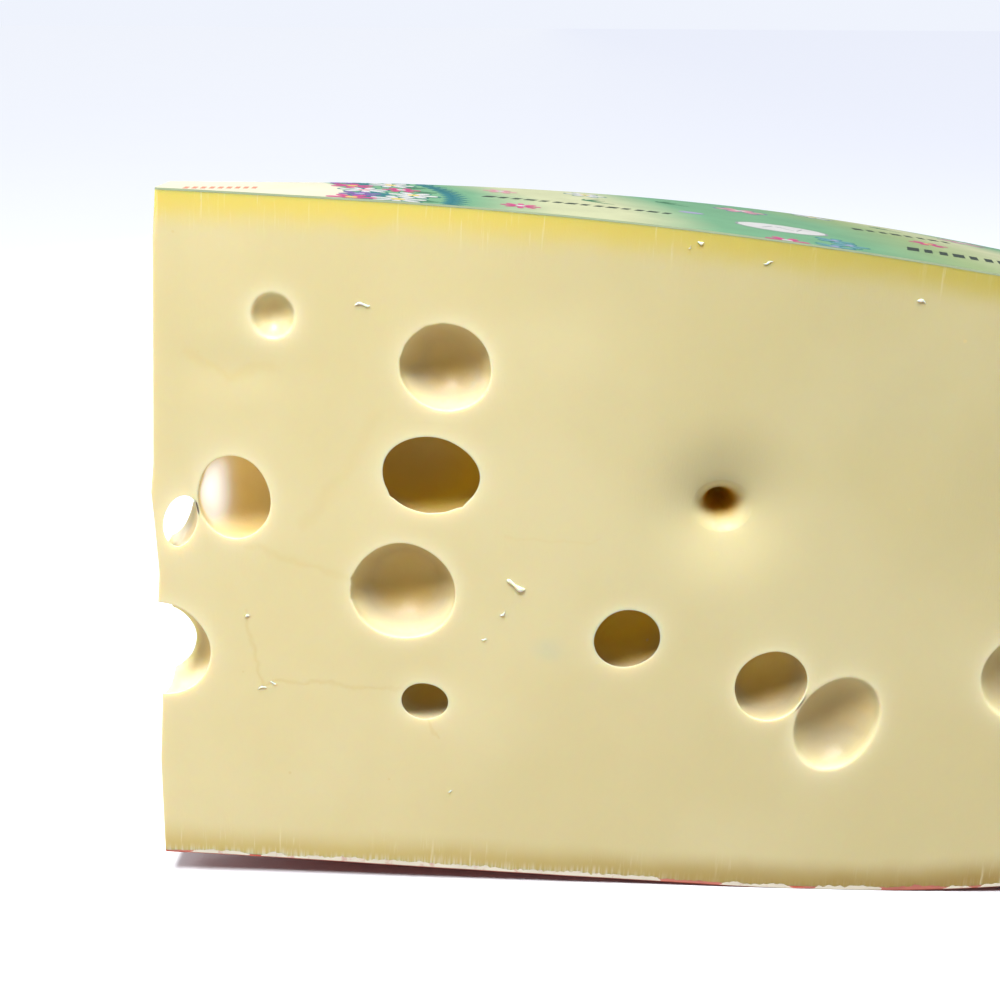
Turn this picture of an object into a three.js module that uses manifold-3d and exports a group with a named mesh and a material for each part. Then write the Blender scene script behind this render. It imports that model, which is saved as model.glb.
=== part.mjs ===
// A wedge of big-eyed alpine cheese, cut from the middle of a whole wheel, between its two paper labels.
// Millimetres, +Z up. The front cut face looks along -Y, the tip points along -X and the rind rim along +X.
// Everything is shaped in the wheel's own frame, whose axis is +Z through the middle of the tip, and is
// then tilted to the way the wedge rests, because the base of the wheel bulges and the tip stands proud.
import * as THREE from 'three';
import { mergeVertices } from 'three/addons/utils/BufferGeometryUtils.js';
import Module from 'manifold-3d';

const degrees = Math.PI / 180;

// The wheel: a level middle on top and below, then a top that falls away and a base that rises
const WHEEL_RADIUS = 390;
const WHEEL_HEIGHT = 230;
const TOP_LEVEL_RADIUS = 53;
const TOP_FALL = 2.76e-4;
const BASE_LEVEL_RADIUS = 199;
const BASE_RISE = 7.0e-4;
const RIM_DEPTH = 34;
const RIM_POWER = 3;
const RIM_STEPS = 8;
const WHEEL_FACETS = 128;
const PROFILE_RADII = [TOP_LEVEL_RADIUS, 100, 150, BASE_LEVEL_RADIUS, 216, 232, 250, 275, 305, 335];

// The wedge: two upright cuts that part by this angle, and a narrow end where the wheel was halved
const WEDGE_ANGLE = 27.3 * degrees;
const TIP_WIDTH = 20.4;

// The paper labels, one on the top and one on the base
const LABEL_RADIUS = 350;
const LABEL_GAP = 0.3;
const LABEL_THICKNESS = 0.5;

// The rest pose: the tip is raised, and the base is pressed flat where it bears
const REST_TILT = 2.69 * degrees;
const BEARING_DEPTH = 1.0;

// The eyes on a cut face. x runs along the face from the tip and z is the height in the wheel.
// width and height are the mouth, depth is how far in the eye goes, and belly is how far in it is widest,
// below 0 for a shallow dish. turn leans the top of the mouth along x, in degrees, and lean slides the eye
// along x and z as it goes in.
const FRONT_EYES = [
  { x: 36.9, z: 192.7, width: 15.8, height: 16, depth: 5, belly: -4 },
  { x: 92.2, z: 179.1, width: 30.2, height: 29.4, depth: 14, belly: 0 },
  { x: 88.7, z: 143.4, width: 32.2, height: 26.6, depth: 32, belly: 13, turn: 6 },
  { x: 81.1, z: 102.5, width: 36, height: 34.8, depth: 16, belly: -1 },
  { x: 89.7, z: 63.1, width: 16.6, height: 13.8, depth: 24, belly: 11 },
  { x: 156.6, z: 90.7, width: 23, height: 19.8, depth: 26, belly: 11, turn: -32 },
  { x: 206.2, z: 76.5, width: 24.4, height: 26.6, depth: 15, belly: 2, turn: 28 },
  { x: 230.2, z: 63.8, width: 27.6, height: 36.4, depth: 11, belly: -2, turn: 25 },
  { x: 24.5, z: 131.8, width: 24.8, height: 29.6, depth: 25, belly: 7, turn: -8, lean: [0.16, 0] },
  { x: 290.4, z: 85.1, width: 30.4, height: 33.2, depth: 14, belly: 0 },
  { x: 328, z: 131, width: 23, height: 21, depth: 10, belly: -1 },
  { x: 344, z: 84, width: 14, height: 13, depth: 8, belly: 0 },
];

// Two eyes that break out through the thin tip, from the front face to the end and the back
const TIP_EYES = [
  { x: 6.9, z: 122.8, width: 11.4, height: 18.4, depth: 33, belly: 14, turn: 14, lean: [-0.33, 0] },
  { x: 0.1, z: 76.8, width: 33.6, height: 34.2, depth: 24.7, belly: 6.5, lean: [0, -0.2] },
];

const BACK_EYES = [
  { x: 62, z: 186, width: 18, height: 17, depth: 8, belly: -1 },
  { x: 76, z: 92, width: 31, height: 28, depth: 13, belly: -1 },
  { x: 118, z: 152, width: 34, height: 31, depth: 20, belly: 4, turn: 12 },
  { x: 130, z: 52, width: 18, height: 16, depth: 14, belly: 4 },
  { x: 168, z: 108, width: 26, height: 24, depth: 11, belly: -2 },
  { x: 192, z: 172, width: 23, height: 24, depth: 10, belly: -1 },
  { x: 216, z: 70, width: 33, height: 29, depth: 19, belly: 3, turn: -15 },
  { x: 254, z: 128, width: 28, height: 26, depth: 16, belly: 2 },
  { x: 272, z: 176, width: 15, height: 15, depth: 7, belly: -1 },
  { x: 300, z: 86, width: 24, height: 22, depth: 9, belly: -2, turn: 20 },
  { x: 334, z: 134, width: 19, height: 18, depth: 9, belly: 0 },
];
const EYE_DETAIL = 3;

// A pinched eye: a narrow pit in the middle of a wide, soft dent
const PIT = { x: 184.2, z: 137.6, radius: 6.6, depth: 17 };
const DENT = { radius: 16, depth: 5, reach: 34 };
const PIT_RINGS = [1, 2.5, 4, 5.2, 6.2, 7.2, 8.6, 10.5, 13.5, 17.5, 22, 27];
const PIT_SIDES = 20;
const PIT_SKIM = 0.05;

// A profile's listed radii stop this far short of its edge
const PROFILE_GAP = 5;

// Sizes of the cutting solids, past what they cut
const CUT_MARGIN = 60;
const CUT_OVERLAP = 1;
const LABEL_CUT_DEPTH = 6;
const FLOOR_CUT_SIZE = 1200;

const wasm = await Module();
wasm.setup();

// The pose the wedge rests in: tilted about the line across its bisector, and lifted until the lowest line of
// its base is pressed flat by the bearing depth
const bisector = new THREE.Vector3(Math.cos(WEDGE_ANGLE / 2), Math.sin(WEDGE_ANGLE / 2), 0);
const bearingRadius = BASE_LEVEL_RADIUS + Math.tan(REST_TILT) / (2 * BASE_RISE);
const lowest = baseHeight(bearingRadius) * Math.cos(REST_TILT) - bearingRadius * Math.sin(REST_TILT);
const lift = LABEL_GAP + LABEL_THICKNESS - BEARING_DEPTH - lowest;
const restPose = new THREE.Matrix4()
  .makeTranslation(0, 0, lift)
  .multiply(new THREE.Matrix4().makeRotationAxis(new THREE.Vector3(-bisector.y, bisector.x, 0), REST_TILT));

function solid(geometry) {
  const bare = geometry.clone();
  bare.deleteAttribute('normal');
  bare.deleteAttribute('uv');
  const merged = mergeVertices(bare);
  const corners = merged.index.array;
  const triangles = [];
  for (let i = 0; i < corners.length; i += 3) {
    const [a, b, c] = corners.slice(i, i + 3);
    if (a !== b && b !== c && c !== a) triangles.push(a, b, c);
  }
  return new wasm.Manifold(new wasm.Mesh({
    numProp: 3,
    vertProperties: new Float32Array(merged.attributes.position.array),
    triVerts: new Uint32Array(triangles),
  }));
}

function resting(geometry) {
  return solid(geometry.clone().applyMatrix4(restPose));
}

function geometryOf(manifold) {
  const mesh = manifold.getMesh();
  const geometry = new THREE.BufferGeometry();
  geometry.setAttribute('position', new THREE.BufferAttribute(mesh.vertProperties, 3));
  geometry.setIndex(new THREE.BufferAttribute(mesh.triVerts, 1));
  geometry.computeVertexNormals();
  return geometry;
}

// Heights of the wheel's top and base at a distance from its axis, before the rim rounds them off
function topHeight(r) {
  return WHEEL_HEIGHT - TOP_FALL * Math.max(r - TOP_LEVEL_RADIUS, 0) ** 2;
}

function baseHeight(r) {
  return BASE_RISE * Math.max(r - BASE_LEVEL_RADIUS, 0) ** 2;
}

function revolved(profile, sides) {
  const points = profile.map(([r, height]) => new THREE.Vector2(r, height));
  return new THREE.LatheGeometry(points, sides);
}

function revolvedUpright(profile) {
  return revolved(profile, WHEEL_FACETS).rotateX(Math.PI / 2);
}

// The rim closes the profile from the base round to the shoulder: the top and base run on, drawn together
// towards the middle of the rim as a superellipse
function rimProfile() {
  const shoulder = WHEEL_RADIUS - RIM_DEPTH;
  const middle = (topHeight(shoulder) + baseHeight(shoulder)) / 2;
  const points = [];
  for (let step = 1 - RIM_STEPS; step < RIM_STEPS; step += 1) {
    const angle = (step / RIM_STEPS) * (Math.PI / 2);
    const r = shoulder + RIM_DEPTH * Math.cos(angle) ** (2 / RIM_POWER);
    const edge = angle < 0 ? baseHeight(r) : topHeight(r);
    points.push([r, middle + (edge - middle) * Math.abs(Math.sin(angle)) ** (2 / RIM_POWER)]);
  }
  return points;
}

// A round body between a lower and an upper surface, each given as its height at a distance from the axis
function roundBody(under, over, radius, rim = []) {
  const radii = [...PROFILE_RADII.filter((r) => r < radius - PROFILE_GAP), radius];
  const low = radii.map((r) => [r, under(r)]);
  const high = radii.map((r) => [r, over(r)]).reverse();
  return resting(revolvedUpright([[0, under(0)], ...low, ...rim, ...high, [0, over(0)]]));
}

// The two cuts and the tip end, as an upright prism
function wedgePrism() {
  const reach = WHEEL_RADIUS + CUT_MARGIN;
  const half = TIP_WIDTH / 2;
  const outline = new THREE.Shape([
    new THREE.Vector2(0, -half),
    new THREE.Vector2(reach, -half),
    new THREE.Vector2(reach, half + reach * Math.tan(WEDGE_ANGLE)),
    new THREE.Vector2(0, half),
  ]);
  const prism = new THREE.ExtrudeGeometry(outline, {
    depth: WHEEL_HEIGHT + 2 * CUT_MARGIN,
    bevelEnabled: false,
  });
  return resting(prism.translate(0, 0, -CUT_MARGIN));
}

// Everything above a level height over the surface that the wedge rests on
function spaceAbove(height) {
  const box = new THREE.BoxGeometry(FLOOR_CUT_SIZE, FLOOR_CUT_SIZE, FLOOR_CUT_SIZE);
  return solid(box.translate(0, 0, height + FLOOR_CUT_SIZE / 2));
}

// The ways from the two cut faces' own frames, with x along the face, y into the cheese and z up
const frontFace = {
  along: 1,
  place: new THREE.Matrix4().makeTranslation(0, -TIP_WIDTH / 2, 0),
};
const backFace = {
  along: -1,
  place: new THREE.Matrix4()
    .makeTranslation(0, TIP_WIDTH / 2, 0)
    .multiply(new THREE.Matrix4().makeRotationZ(Math.PI + WEDGE_ANGLE)),
};

function eye(face, { x, z, width, height, depth, belly, turn = 0, lean = [0, 0] }) {
  const reach = depth - belly;
  const mouth = Math.sqrt(1 - (belly / reach) ** 2);
  const ball = new THREE.IcosahedronGeometry(1, EYE_DETAIL);
  ball.scale(width / 2 / mouth, reach, height / 2 / mouth);
  ball.rotateY(turn * face.along * degrees);
  ball.translate(0, belly, 0);
  ball.applyMatrix4(new THREE.Matrix4().makeShear(0, 0, lean[0], lean[1], 0, 0));
  ball.translate(x * face.along, 0, z);
  return resting(ball.applyMatrix4(face.place));
}

// How far the pinched eye is sunk at a distance from its middle, down to nothing at its reach
function sunk(r) {
  const dent = (distance) => DENT.depth * Math.exp(-((distance / DENT.radius) ** 2));
  return PIT.depth * Math.exp(-((r / PIT.radius) ** 4)) + dent(r) - dent(DENT.reach);
}

function pinchedEye() {
  const hollow = [...PIT_RINGS].reverse().map((r) => [r, sunk(r)]);
  const outside = [[0, -DENT.depth], [DENT.reach, -DENT.depth], [DENT.reach, -PIT_SKIM]];
  const profile = [...outside, ...hollow, [0, sunk(0)]];
  const cutter = revolved(profile, PIT_SIDES).translate(PIT.x, 0, PIT.z);
  return resting(cutter.applyMatrix4(frontFace.place));
}

function cheese(wedge) {
  const wheel = roundBody(baseHeight, topHeight, WHEEL_RADIUS - RIM_DEPTH, rimProfile());
  const eyes = [
    ...[...FRONT_EYES, ...TIP_EYES].map((shape) => eye(frontFace, shape)),
    ...BACK_EYES.map((shape) => eye(backFace, shape)),
    pinchedEye(),
  ];
  const pressedFlat = spaceAbove(LABEL_GAP + LABEL_THICKNESS);
  const uncut = wheel.intersect(wedge).intersect(pressedFlat);
  return eyes.reduce((body, hollow) => body.subtract(hollow), uncut);
}

function topLabel(wedge) {
  const under = (r) => topHeight(r) + LABEL_GAP;
  const over = (r) => topHeight(r) + LABEL_GAP + LABEL_THICKNESS;
  return roundBody(under, over, LABEL_RADIUS).intersect(wedge);
}

// The base label follows the base, and is pressed flat between the cheese and what it rests on
function bottomLabel(wedge) {
  const under = (r) => baseHeight(r) - LABEL_GAP - LABEL_THICKNESS;
  const over = (r) => baseHeight(r) - LABEL_GAP;
  const within = (r) => baseHeight(r) + LABEL_CUT_DEPTH;
  const outside = roundBody(under, within, LABEL_RADIUS).intersect(spaceAbove(0));
  const beyond = (r) => within(r) + CUT_OVERLAP;
  const inside = roundBody(over, beyond, LABEL_RADIUS + CUT_OVERLAP).intersect(spaceAbove(LABEL_THICKNESS));
  return outside.subtract(inside).intersect(wedge);
}

function part(name, body, color, roughness) {
  const material = new THREE.MeshStandardMaterial({ color, roughness, metalness: 0 });
  const mesh = new THREE.Mesh(geometryOf(body), material);
  mesh.name = name;
  return mesh;
}

const wedge = wedgePrism();
const cheeseWedge = new THREE.Group();
cheeseWedge.add(
  part('cheese', cheese(wedge), 0xe6d8a8, 0.5),
  part('top_label', topLabel(wedge), 0x7dbe99, 0.55),
  part('bottom_label', bottomLabel(wedge), 0xc8382f, 0.6),
);

// The origin is under the middle of the whole wedge, on the surface that it rests on
const middle = new THREE.Box3().setFromObject(cheeseWedge).getCenter(new THREE.Vector3());
cheeseWedge.position.set(-middle.x, -middle.y, 0);

export default cheeseWedge;
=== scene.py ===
# A wedge of big-eyed alpine cheese with its paper labels, for Blender 4.5.
# Shapes are worked out in millimetres in the wheel's own frame, whose axis is +Z through the middle of the
# tip, and are then tilted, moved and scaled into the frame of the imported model.
import math
from collections import namedtuple
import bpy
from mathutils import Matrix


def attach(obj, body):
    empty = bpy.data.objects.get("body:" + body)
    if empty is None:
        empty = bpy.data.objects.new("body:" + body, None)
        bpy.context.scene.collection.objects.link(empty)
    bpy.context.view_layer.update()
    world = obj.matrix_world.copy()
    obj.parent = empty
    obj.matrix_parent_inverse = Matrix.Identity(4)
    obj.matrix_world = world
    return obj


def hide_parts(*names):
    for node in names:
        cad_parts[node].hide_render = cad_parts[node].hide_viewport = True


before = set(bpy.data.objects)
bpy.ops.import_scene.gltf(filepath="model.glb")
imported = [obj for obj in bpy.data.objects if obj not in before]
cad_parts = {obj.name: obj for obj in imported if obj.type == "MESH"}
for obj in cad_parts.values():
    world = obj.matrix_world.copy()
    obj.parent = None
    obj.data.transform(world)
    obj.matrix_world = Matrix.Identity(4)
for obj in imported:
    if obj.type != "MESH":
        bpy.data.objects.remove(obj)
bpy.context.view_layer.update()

from types import SimpleNamespace

import bmesh
import bpy
import numpy as np
from mathutils import Matrix, Vector

# The wheel, the wedge and its rest pose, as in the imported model
WHEEL_RADIUS = 390
WHEEL_HEIGHT = 230
TOP_LEVEL_RADIUS = 53
TOP_FALL = 2.76e-4
BASE_LEVEL_RADIUS = 199
BASE_RISE = 7.0e-4
RIM_DEPTH = 34
RIM_POWER = 3
WEDGE_ANGLE = math.radians(27.3)
TIP_WIDTH = 20.4
HALF_TIP = TIP_WIDTH / 2
LABEL_RADIUS = 350
LABEL_GAP = 0.3
LABEL_THICKNESS = 0.5
REST_TILT = math.radians(2.69)
BEARING_DEPTH = 1.0
MM = 0.001

# The wedge's upright corners are rounded by this much
CORNER_RADIUS = 0.9

# How finely the surfaces are divided. Turned solids go round the axis in degrees from, to and by: finely over
# the wedge, and coarsely over the rest of the wheel.
FRONT_STEP = 2.4
BACK_STEP = 3.2
TIP_STEP = 2.0
LEVEL_STEP = 2.4
FINE_SWEEP = (-9, 37, 0.6)
COARSE_SWEEP = (45, 351, 9)
PROFILE_STEP = 7
RIM_ROWS = 22
EYE_STEP = 1.2
SHARP_ANGLE = math.radians(38)

# How far the shapes that cut others reach past them
CUT_REACH = 30
PRISM_REACH = 24
BLOCK_REACH = 600

# Each face's group says what made it: the wheel and the blocks, the knife, or an eye
RIND, CUT, EYE = 0, 1, 2

# The eyes: x runs along the face from the tip and z is the height in the wheel. width and height are the
# mouth, depth is how far in the eye goes, and belly is how far in it is widest, below 0 for a shallow dish.
# turn leans the top of the mouth along x, and lean slides the eye along x and z as it goes in. lip is the
# rounding of the mouth's edge, and chips are torn stretches of it: angle, spread and size.
Eye = namedtuple("Eye", "x z width height depth belly turn lean lip chips", defaults=(0, (0, 0), 0.55, ()))
FRONT_EYES = [
    Eye(36.9, 192.7, 15.8, 16, 5, -4, lip=0.7),
    Eye(92.2, 179.1, 30.2, 29.4, 14, 0, chips=[(140, 45, 0.7)]),
    Eye(88.7, 143.4, 32.2, 26.6, 32, 13, turn=6, chips=[(222, 5, 0.6), (262, 34, 0.5), (318, 5, 0.6)]),
    Eye(81.1, 102.5, 36, 34.8, 16, -1, chips=[(166, 5, 0.5), (192, 24, 0.8)]),
    Eye(89.7, 63.1, 16.6, 13.8, 18, 7, lip=0.35),
    Eye(156.6, 90.4, 23, 20.8, 26, 11, turn=-32, lip=0.4),
    Eye(206.2, 76.4, 24.4, 27.2, 18, 4, turn=28),
    Eye(229.7, 63.9, 28.8, 37.4, 10, -3, turn=20, lip=0.8),
    Eye(24.5, 131.8, 24.8, 29.6, 25, 7, turn=-8, lean=(0.16, 0)),
    Eye(290.4, 85.1, 30.4, 33.2, 9, -5),
    Eye(328, 131, 23, 21, 10, -1),
    Eye(344, 84, 14, 13, 8, 0, lip=0.4),
]
TIP_EYES = [
    Eye(6.9, 122.8, 11.4, 18.4, 33, 14, turn=14, lean=(-0.33, 0), lip=0.3),
    Eye(0.1, 76.8, 33.6, 34.2, 24.7, 6.5, lean=(0, -0.2)),
]
BACK_EYES = [
    Eye(62, 186, 18, 17, 8, -1),
    Eye(76, 92, 31, 28, 13, -1),
    Eye(118, 152, 34, 31, 20, 4, turn=12),
    Eye(130, 52, 18, 16, 14, 4),
    Eye(168, 108, 26, 24, 11, -2),
    Eye(192, 172, 23, 24, 10, -1),
    Eye(216, 70, 33, 29, 19, 3, turn=-15),
    Eye(254, 128, 28, 26, 16, 2),
    Eye(272, 176, 15, 15, 7, -1),
    Eye(300, 86, 24, 22, 9, -2, turn=20),
    Eye(334, 134, 19, 18, 9, 0),
]

# A pinched eye: a narrow pit in the middle of a wide, soft dent, and how deep the pit's painted dark shade
# may reach
PIT = SimpleNamespace(x=184.2, z=137.6, radius=5.4, depth=17, squash=0.8, steepness=2.3)
DENT = SimpleNamespace(radius=16, depth=5, reach=34)
PIT_ZONE = 40

# Soft dents in the front cut face: x, z, half width, half height, depth
FRONT_DENTS = [(239, 164, 13, 22, 0.7), (24, 175, 16, 7, 0.35), (140, 200, 30, 16, 0.3)]

# How far the tip end bulges out at heights in the wheel, and where a thin wall lets light into an eye,
# painted as a
# glow: its middle, how it fades each way, and how far off the painted light on the sills of other eyes begins
# to show
TIP_BULGE = [
    (0, 0), (10, 0.35), (35, 1.1), (58, 0.2), (90, 1.4), (104, 0.6),
    (120, 1.8), (132, 2.9), (142, 2.0), (216, 0.9), (230, 0),
]
TIP_BULGE_REACH = 9
THIN_WALL = SimpleNamespace(x=15, d=12, z=130.5, wide=7, deep=9, high=10.5, clear=30)

# The camera's place in the wheel's frame, its angles in radians, and its lens for a 36 mm wide sensor
CAMERA_PLACE = (131.64, -472.40, 290.02)
CAMERA_PITCH = 0.3103
CAMERA_YAW = -0.0299
CAMERA_ROLL = 0.0058
CAMERA_LENS = 53.85

# In metres. Lights: a soft key above the front left, a back light, and a sun overhead that whitens the floor
KEY_PLACE = (-0.30, -0.66, 1.14)
KEY_TARGET = (-0.05, -0.1, 0.12)
KEY_SIZE = 0.36
KEY_POWER = 18.5
BACK_PLACE = (-1.0, 0.7, 0.6)
BACK_TARGET = (-0.15, 0, 0.12)
BACK_SIZE = 0.8
BACK_POWER = 10
SUN_PLACE = (0, -0.15, 1)
SUN_ANGLE = math.radians(40)
SUN_STRENGTH = 2.95
WORLD_COLOUR = (0.865, 0.90, 0.985, 1)
WORLD_LIGHT = 0.15
FLOOR_HALF = 60
FLOOR_LEVEL = -0.0002
FLOOR_TONES = ((0.915, 0.94, 0.985), (0.93, 0.955, 0.995))
FLOOR_BOUNCE = (0.27, 0.26, 0.25)
FLOOR_FAR_SHADE = (0.84, 0.87, 0.97)


# ---- numbers on arrays of points

def waves(points, size, seed, count=14):
    """Smooth noise of about unit height: plane waves of about the given size in random directions."""
    chance = np.random.default_rng(seed)
    directions = chance.normal(size=(count, 3))
    directions /= np.linalg.norm(directions, axis=1)[:, None]
    directions *= (2 * math.pi / size * chance.uniform(0.7, 1.5, count))[:, None]
    phases = chance.uniform(0, 2 * math.pi, count)
    return np.sin(points @ directions.T + phases).sum(axis=1) * math.sqrt(2 / count)


def smooth(low, high, value):
    """0 below low and 1 above high, with a smooth rise between them."""
    t = np.clip((value - low) / (high - low), 0, 1)
    return t * t * (3 - 2 * t)


def circle(count):
    """Even angles round a full turn."""
    return np.arange(count) * 2 * math.pi / count


def top_height(r):
    return WHEEL_HEIGHT - TOP_FALL * np.maximum(r - TOP_LEVEL_RADIUS, 0) ** 2


def base_height(r):
    return BASE_RISE * np.maximum(r - BASE_LEVEL_RADIUS, 0) ** 2


def knife_waver(x, z, size, seed, squeeze=0.6):
    return waves(np.stack([x, 0 * x, z * squeeze], axis=-1), size, seed)


def settled(sunk, x):
    """A relief that stays just inside the cut and fades to nothing at the tip's corner."""
    return np.maximum(sunk, 0.02) * smooth(CORNER_RADIUS, 10, x)


def front_relief(x, z):
    """How far the front cut face is sunk, from soft dents and the waver of the knife."""
    sunk = 0.30 + 0.08 * knife_waver(x, z, 70, 5) + 0.025 * knife_waver(x, z, 24, 6, 0.35)
    for dent_x, dent_z, wide, high, depth in FRONT_DENTS:
        sunk += depth * np.exp(-((x - dent_x) / wide) ** 2 - ((z - dent_z) / high) ** 2)
    return settled(sunk, x)


def back_relief(x, z):
    return settled(0.32 + 0.10 * knife_waver(x, z, 80, 15), x)


# ---- frames

def rest_pose():
    """The tilt about the line across the bisector, and the lift that presses the base flat."""
    across = Vector((-math.sin(WEDGE_ANGLE / 2), math.cos(WEDGE_ANGLE / 2), 0))
    bearing = BASE_LEVEL_RADIUS + math.tan(REST_TILT) / (2 * BASE_RISE)
    lowest = base_height(bearing) * math.cos(REST_TILT) - bearing * math.sin(REST_TILT)
    lift = LABEL_GAP + LABEL_THICKNESS - BEARING_DEPTH - lowest
    return np.array(Matrix.Translation((0, 0, lift)) @ Matrix.Rotation(REST_TILT, 4, across))


REST_POSE = rest_pose()


def resting(points):
    return points @ REST_POSE[:3, :3].T + REST_POSE[:3, 3]


def unresting(points):
    return (points - REST_POSE[:3, 3]) @ REST_POSE[:3, :3]


# Each cut face's own frame: along it from the tip, into the cheese, and up
FRONT = SimpleNamespace(
    start=np.array([0, -HALF_TIP, 0]),
    along=np.array([1, 0, 0]),
    inward=np.array([0, 1, 0]),
    relief=front_relief,
)
BACK = SimpleNamespace(
    start=np.array([0, HALF_TIP, 0]),
    along=np.array([math.cos(WEDGE_ANGLE), math.sin(WEDGE_ANGLE), 0]),
    inward=np.array([math.sin(WEDGE_ANGLE), -math.cos(WEDGE_ANGLE), 0]),
    relief=back_relief,
)
UP = np.array([0, 0, 1])


def from_face(face, a, d, h):
    """Points at a along the face, d into the cheese and h up, following the face's relief."""
    d = d + face.relief(a, h)
    return face.start + a[..., None] * face.along + d[..., None] * face.inward + h[..., None] * UP


def into_face(face, points):
    offset = points - face.start
    return offset @ face.along, offset @ face.inward, points[..., 2]


# ---- meshes

def lofted(rings):
    """A closed shell from rings of points, with each end closed by a flat face."""
    count = len(rings[0])
    verts = np.concatenate(rings)
    faces = [list(range(count))[::-1], [len(verts) - count + i for i in range(count)]]
    for row in range(len(rings) - 1):
        low, high = row * count, (row + 1) * count
        for i in range(count):
            j = (i + 1) % count
            faces.append([low + i, low + j, high + j, high + i])
    return verts, faces


def signed_volume(verts, faces):
    total = 0.0
    for face in faces:
        corner = verts[face[0]]
        for i in range(1, len(face) - 1):
            total += np.dot(corner, np.cross(verts[face[i]], verts[face[i + 1]]))
    return total


def facing_out(verts, faces):
    if signed_volume(verts, faces) < 0:
        faces = [face[::-1] for face in faces]
    return verts, faces


def joined(shells):
    verts, faces, start = [], [], 0
    for shell_verts, shell_faces in shells:
        verts.append(shell_verts)
        faces += [[start + i for i in face] for face in shell_faces]
        start += len(shell_verts)
    return np.concatenate(verts), faces


def loose_mesh(name, verts, faces, slots):
    mesh = bpy.data.meshes.new(name)
    mesh.from_pydata(verts.tolist(), [], faces)
    for _ in range(slots):
        mesh.materials.append(None)
    return mesh


def linked(name, data):
    """A new object with this data, linked into the scene."""
    thing = bpy.data.objects.new(name, data)
    bpy.context.scene.collection.objects.link(thing)
    return thing


def mesh_object(name, verts, faces, group):
    """A linked object whose faces all carry a group number, kept as their material index."""
    mesh = loose_mesh(name, verts, faces, 3)
    mesh.polygons.foreach_set("material_index", [group] * len(faces))
    mesh.update()
    return linked(name, mesh)


def combined(base, steps):
    """The mesh left after boolean steps, each an operation and the object it uses."""
    for operation, other in steps:
        modifier = base.modifiers.new(operation, "BOOLEAN")
        modifier.operation = operation
        modifier.solver = "MANIFOLD"
        modifier.object = other
    bpy.context.view_layer.update()
    graph = bpy.context.evaluated_depsgraph_get()
    mesh = bpy.data.meshes.new_from_object(base.evaluated_get(graph))
    for thing in [base] + [other for _, other in steps]:
        spare = thing.data
        bpy.data.objects.remove(thing)
        bpy.data.meshes.remove(spare)
    return mesh


def read(collection, field, width=1, kind=float):
    """One field of every item, as an array with width columns."""
    values = np.empty(len(collection) * width, dtype=np.int32 if kind is int else np.float64)
    collection.foreach_get(field, values)
    return values.reshape(-1, width) if width > 1 else values


# ---- the uncut wedge

def wheel_profile(under, over, radius, rim_rows=0):
    """A closed loop of radius and height: out along the underside, round the rim and back along the top."""
    out = np.linspace(0, radius, int(radius / PROFILE_STEP) + 1)
    loop = [(r, under(r)) for r in out]
    if rim_rows:
        middle = (top_height(radius) + base_height(radius)) / 2
        for angle in np.linspace(-math.pi / 2, math.pi / 2, 2 * rim_rows + 1)[1:-1]:
            r = radius + RIM_DEPTH * math.cos(angle) ** (2 / RIM_POWER)
            edge = under(r) if angle < 0 else over(r)
            loop.append((r, middle + (edge - middle) * abs(math.sin(angle)) ** (2 / RIM_POWER)))
    loop += [(r, over(r)) for r in out[::-1]]
    return np.array(loop)


def revolved_solid(name, profile):
    """The profile turned about the axis, finely over the wedge and coarsely elsewhere."""
    angles = np.radians(np.concatenate([np.arange(*FINE_SWEEP), np.arange(*COARSE_SWEEP)]))
    rings = np.stack([
        np.stack([profile[:, 0] * math.cos(a), profile[:, 0] * math.sin(a), profile[:, 1]], axis=-1)
        for a in angles
    ])
    rows, count = rings.shape[:2]
    faces = []
    for row in range(rows):
        here, there = row * count, (row + 1) % rows * count
        faces += [[here + i, here + i + 1, there + i + 1, there + i] for i in range(count - 1)]
    thing = mesh_object(name, resting(rings.reshape(-1, 3)), faces, RIND)
    weld = bmesh.new()
    weld.from_mesh(thing.data)
    bmesh.ops.remove_doubles(weld, verts=weld.verts, dist=1e-4)
    bmesh.ops.recalc_face_normals(weld, faces=weld.faces)
    weld.to_mesh(thing.data)
    weld.free()
    return thing


def corner_arc(centre, start, end):
    """The points that round a corner, without the last one."""
    x, y = centre
    angles = start + (end - start) * np.linspace(0, 1, 5)[:-1]
    return [(x + CORNER_RADIUS * math.cos(a), y + CORNER_RADIUS * math.sin(a)) for a in angles]


def wedge_outline():
    """The plan of the two cuts and the tip end, with its upright corners a little rounded, anticlockwise."""
    reach = WHEEL_RADIUS + CUT_REACH
    corner = CORNER_RADIUS
    tip = np.arange(HALF_TIP - corner, -HALF_TIP + corner, -TIP_STEP)
    points = [(0, y) for y in tip]
    points += corner_arc((corner, -HALF_TIP + corner), math.pi, 1.5 * math.pi)
    points += [(x, -HALF_TIP) for x in np.arange(corner, reach, FRONT_STEP)]
    back = np.arange(reach, corner, -BACK_STEP)
    points += [(s * math.cos(WEDGE_ANGLE), HALF_TIP + s * math.sin(WEDGE_ANGLE)) for s in back]
    centre = (corner, HALF_TIP + corner * (math.sin(WEDGE_ANGLE) - 1) / math.cos(WEDGE_ANGLE))
    points += corner_arc(centre, math.pi / 2 + WEDGE_ANGLE, math.pi)
    return np.array(points)


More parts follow.
